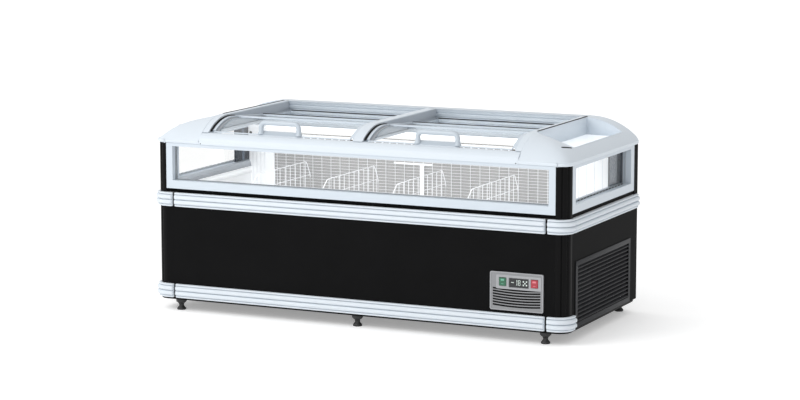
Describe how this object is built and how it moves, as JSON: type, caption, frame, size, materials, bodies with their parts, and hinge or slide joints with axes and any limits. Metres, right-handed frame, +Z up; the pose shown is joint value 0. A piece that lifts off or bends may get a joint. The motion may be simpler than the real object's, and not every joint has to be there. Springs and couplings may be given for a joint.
{
  "type": "island display chest freezer",
  "caption": "Island display chest freezer: insulated tub with a glazed rim, a roof with sliding curved and flat glass lids, wire dividers, control panel and levelling feet.",
  "frame": {"origin": "on the floor, at the middle of the whole cabinet's length and depth", "axes": "+X along the length to the customer's right, +Y from the customer's front to the back, +Z up"},
  "size_m": [2.14, 0.94, 0.931],
  "materials": {
    "white_moulding": "satin",
    "silver_frame": "satin",
    "black_sheet": "semi-gloss",
    "black_moulding": "satin",
    "clear_glass": "clear",
    "dark_grille": "matte",
    "grey_panel": "matte",
    "display_window": "gloss",
    "white_liner": "satin",
    "fin_block": "bare fins",
    "black_enamel": "enamel",
    "white_wire": "plastic coated",
    "foot_rubber": "matte",
    "green_rocker": "gloss",
    "red_rocker": "gloss"
  },
  "bodies": {
    "cabinet": {"base_frame": "black_sheet", "insulated_tub": "white_liner", "front_panel": "black_sheet", "outer_wrap": "black_sheet", "corner_post_front_left": "black_moulding", "corner_post_front_right": "black_moulding", "corner_post_rear_left": "black_moulding", "corner_post_rear_right": "black_moulding", "belt_ring": "black_moulding", "upper_bumper_front": "white_moulding", "upper_bumper_left": "white_moulding", "upper_bumper_right": "white_moulding", "upper_bumper_corner_left": "white_moulding", "upper_bumper_corner_right": "white_moulding", "lower_bumper_front": "white_moulding", "lower_bumper_corner_left": "white_moulding", "lower_bumper_corner_right": "white_moulding", "glazing_frame": "silver_frame", "glass_front": "clear_glass", "glass_rear": "clear_glass", "glass_left": "clear_glass", "glass_right": "clear_glass", "end_cap_left": "white_moulding", "end_cap_right": "white_moulding", "skylight_left": "clear_glass", "skylight_right": "clear_glass", "front_beam": "white_moulding", "rear_beam": "silver_frame", "rib_left": "white_moulding", "rib_middle": "white_moulding", "rib_right": "white_moulding", "control_bezel": "grey_panel", "display": "display_window", "side_grille": "dark_grille", "rear_mesh": "white_wire", "compressor": "black_enamel", "condenser": "fin_block"},
    "front_left_foot": {"foot_front_left": "foot_rubber"},
    "front_center_foot": {"foot_front_center": "foot_rubber"},
    "front_right_foot": {"foot_front_right": "foot_rubber"},
    "rear_left_foot": {"foot_rear_left": "foot_rubber"},
    "rear_center_foot": {"foot_rear_center": "foot_rubber"},
    "rear_right_foot": {"foot_rear_right": "foot_rubber"},
    "front_lid_left": {"front_lid_frame_left": "silver_frame", "front_lid_glass_left": "clear_glass", "handle_left": "white_moulding"},
    "rear_lid_left": {"rear_lid_frame_left": "silver_frame", "rear_lid_glass_left": "clear_glass"},
    "front_lid_right": {"front_lid_frame_right": "silver_frame", "front_lid_glass_right": "clear_glass", "handle_right": "white_moulding"},
    "rear_lid_right": {"rear_lid_frame_right": "silver_frame", "rear_lid_glass_right": "clear_glass"},
    "green_switch": {"switch_green": "green_rocker"},
    "red_switch": {"switch_red": "red_rocker"},
    "fan": {"condenser_fan": "black_moulding"},
    "wire_divider_1": {"divider_1": "white_wire"},
    "wire_divider_2": {"divider_2": "white_wire"},
    "wire_divider_3": {"divider_3": "white_wire"},
    "wire_divider_4": {"divider_4": "white_wire"}
  },
  "joints": [
    {"name": "foot_front_left_turn", "type": "hinge", "parent": "cabinet", "child": "front_left_foot", "pos_m": [-0.937, -0.416, 0], "axis": [0, 0, 1], "continuous": true},
    {"name": "foot_front_center_turn", "type": "hinge", "parent": "cabinet", "child": "front_center_foot", "pos_m": [0, -0.416, 0], "axis": [0, 0, 1], "continuous": true},
    {"name": "foot_front_right_turn", "type": "hinge", "parent": "cabinet", "child": "front_right_foot", "pos_m": [0.937, -0.416, 0], "axis": [0, 0, 1], "continuous": true},
    {"name": "foot_rear_left_turn", "type": "hinge", "parent": "cabinet", "child": "rear_left_foot", "pos_m": [-0.975, 0.43, 0], "axis": [0, 0, 1], "continuous": true},
    {"name": "foot_rear_center_turn", "type": "hinge", "parent": "cabinet", "child": "rear_center_foot", "pos_m": [0, 0.43, 0], "axis": [0, 0, 1], "continuous": true},
    {"name": "foot_rear_right_turn", "type": "hinge", "parent": "cabinet", "child": "rear_right_foot", "pos_m": [0.975, 0.43, 0], "axis": [0, 0, 1], "continuous": true},
    {"name": "front_lid_left_slide", "type": "slide", "parent": "cabinet", "child": "front_lid_left", "axis": [0, 1, 0], "range_m": [0, 0.28]},
    {"name": "rear_lid_left_slide", "type": "slide", "parent": "cabinet", "child": "rear_lid_left", "axis": [0, 1, 0], "range_m": [-0.28, 0]},
    {"name": "front_lid_right_slide", "type": "slide", "parent": "cabinet", "child": "front_lid_right", "axis": [0, 1, 0], "range_m": [0, 0.28]},
    {"name": "rear_lid_right_slide", "type": "slide", "parent": "cabinet", "child": "rear_lid_right", "axis": [0, 1, 0], "range_m": [-0.28, 0]},
    {"name": "switch_green_rock", "type": "hinge", "parent": "cabinet", "child": "green_switch", "pos_m": [0.7445, -0.45465, 0.274], "axis": [1, 0, 0], "range_deg": [-5, 5]},
    {"name": "switch_red_rock", "type": "hinge", "parent": "cabinet", "child": "red_switch", "pos_m": [0.898, -0.45465, 0.274], "axis": [1, 0, 0], "range_deg": [-5, 5]},
    {"name": "fan_spin", "type": "hinge", "parent": "cabinet", "child": "fan", "pos_m": [0.84, -0.3, 0.2], "axis": [0, 1, 0], "continuous": true},
    {"name": "divider_1_slide", "type": "slide", "parent": "cabinet", "child": "wire_divider_1", "axis": [1, 0, 0], "range_m": [-0.12, 0.12]},
    {"name": "divider_2_slide", "type": "slide", "parent": "cabinet", "child": "wire_divider_2", "axis": [1, 0, 0], "range_m": [-0.12, 0.12]},
    {"name": "divider_3_slide", "type": "slide", "parent": "cabinet", "child": "wire_divider_3", "axis": [1, 0, 0], "range_m": [-0.12, 0.12]},
    {"name": "divider_4_slide", "type": "slide", "parent": "cabinet", "child": "wire_divider_4", "axis": [1, 0, 0], "range_m": [-0.12, 0.09]}
  ]
}
